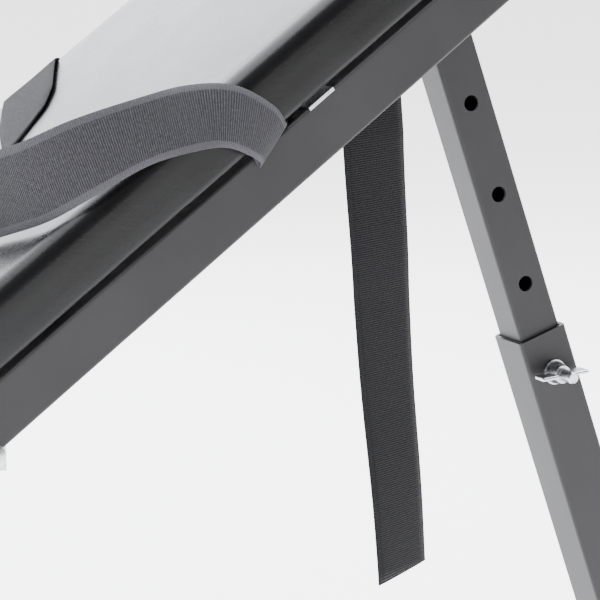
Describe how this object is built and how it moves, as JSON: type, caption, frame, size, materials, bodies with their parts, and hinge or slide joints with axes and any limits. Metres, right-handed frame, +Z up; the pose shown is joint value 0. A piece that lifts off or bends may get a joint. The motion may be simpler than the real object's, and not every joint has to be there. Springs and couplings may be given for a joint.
{
  "type": "slant board",
  "caption": "Padded physiotherapy slant board: black vinyl pads on a grey box-section frame, telescoping rear post with wing nut, body straps.",
  "frame": {"origin": "bottom centre of the bounding box, on the floor", "axes": "+X towards the raised head end, +Y to the left facing the head end, +Z up"},
  "size_m": [1.4806, 0.5, 1.1601],
  "materials": {
    "frame": "dark grey powder coat, satin",
    "zinc": "bright zinc plate",
    "vinyl": "black glossy vinyl upholstery with a fine grain",
    "ply": "black-stained plywood",
    "webbing": "ribbed black polypropylene webbing",
    "plastic": "black moulded polyethylene",
    "rubber": "black rubber"
  },
  "bodies": {
    "upper_board": {"head_cross_tube": "frame", "head_plug_left": "plastic", "head_plug_right": "plastic", "hinge_rivet_left": "zinc", "hinge_rivet_right": "zinc", "post_cross_tube": "frame", "strap_clip": "zinc", "strap_far": "webbing", "strap_near": "webbing", "strap_tail": "webbing", "upper_fold_cross_tube": "frame", "upper_hinge_plate_left": "zinc", "upper_hinge_plate_right": "zinc", "upper_pad": "vinyl", "upper_pad_board": "ply", "upper_pad_bolt_left_1": "zinc", "upper_pad_bolt_left_2": "zinc", "upper_pad_bolt_right_1": "zinc", "upper_pad_bolt_right_2": "zinc", "upper_post": "frame", "upper_rail_left": "frame", "upper_rail_right": "frame", "upper_spacer_left_1": "rubber", "upper_spacer_left_2": "rubber", "upper_spacer_right_1": "rubber", "upper_spacer_right_2": "rubber"},
    "lower_board": {"lower_fold_cross_tube": "frame", "lower_hinge_plate_left": "zinc", "lower_hinge_plate_right": "zinc", "lower_mid_cross_tube": "frame", "lower_pad": "vinyl", "lower_pad_board": "ply", "lower_pad_bolt_left_1": "zinc", "lower_pad_bolt_left_2": "zinc", "lower_pad_bolt_right_1": "zinc", "lower_pad_bolt_right_2": "zinc", "lower_rail_left": "frame", "lower_rail_right": "frame", "lower_spacer_left_1": "rubber", "lower_spacer_left_2": "rubber", "lower_spacer_right_1": "rubber", "lower_spacer_right_2": "rubber", "foot_bar": "frame", "foot_bar_cap_left": "plastic", "foot_bar_cap_right": "plastic"},
    "post_foot": {"lower_post": "frame", "locking_bolt": "zinc", "washer": "zinc", "rear_floor_bar": "frame", "rear_floor_bar_cap_left": "plastic", "rear_floor_bar_cap_right": "plastic"},
    "wing_nut": {"wing_nut": "zinc"}
  },
  "joints": [
    {"name": "board_fold", "type": "hinge", "parent": "upper_board", "child": "lower_board", "pos_m": [0.00145, 0, 0.54781], "axis": [0, -1, 0], "range_deg": [0, 85]},
    {"name": "post_slide", "type": "slide", "parent": "upper_board", "child": "post_foot", "axis": [0.3305, 0, -0.9438], "range_m": [-0.24, 0.24]},
    {"name": "wing_nut_spin", "type": "hinge", "parent": "post_foot", "child": "wing_nut", "pos_m": [0.54058, 0, 0.53597], "axis": [0, -1, 0], "continuous": true}
  ]
}
